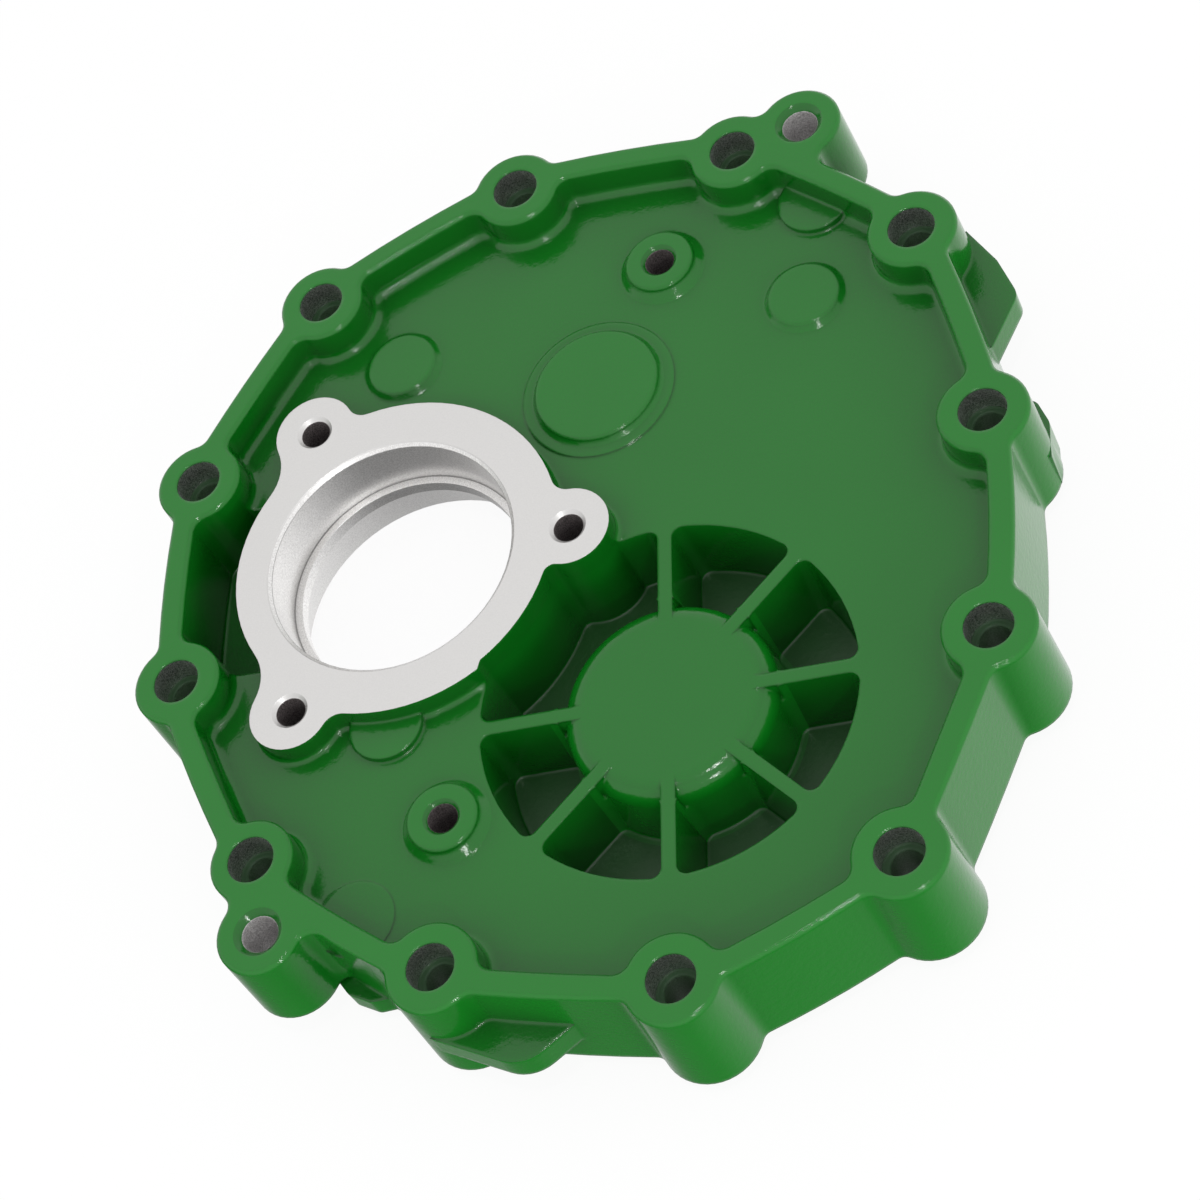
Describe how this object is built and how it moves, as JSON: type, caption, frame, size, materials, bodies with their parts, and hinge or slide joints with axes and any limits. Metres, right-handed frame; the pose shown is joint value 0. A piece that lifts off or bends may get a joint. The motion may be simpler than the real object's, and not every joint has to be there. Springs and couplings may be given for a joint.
{
  "type": "bearing retainer",
  "caption": "Cast gearbox cover with a bolted rim, a machined bearing pad with three tapped ears, and a ribbed hub sunk into its web.",
  "frame": {"origin": "bore axis at the shoulder on which the bearing is seated", "axes": "+Z along the bore, out of the rim face; +X from the bore to the first retainer ear, on the hub's side"},
  "size_m": [0.2585, 0.2895, 0.042],
  "materials": {
    "paint": "gloss green paint, bare machined bearing pad and bore"
  },
  "bodies": {
    "root": {"retainer": "paint"}
  },
  "joints": []
}
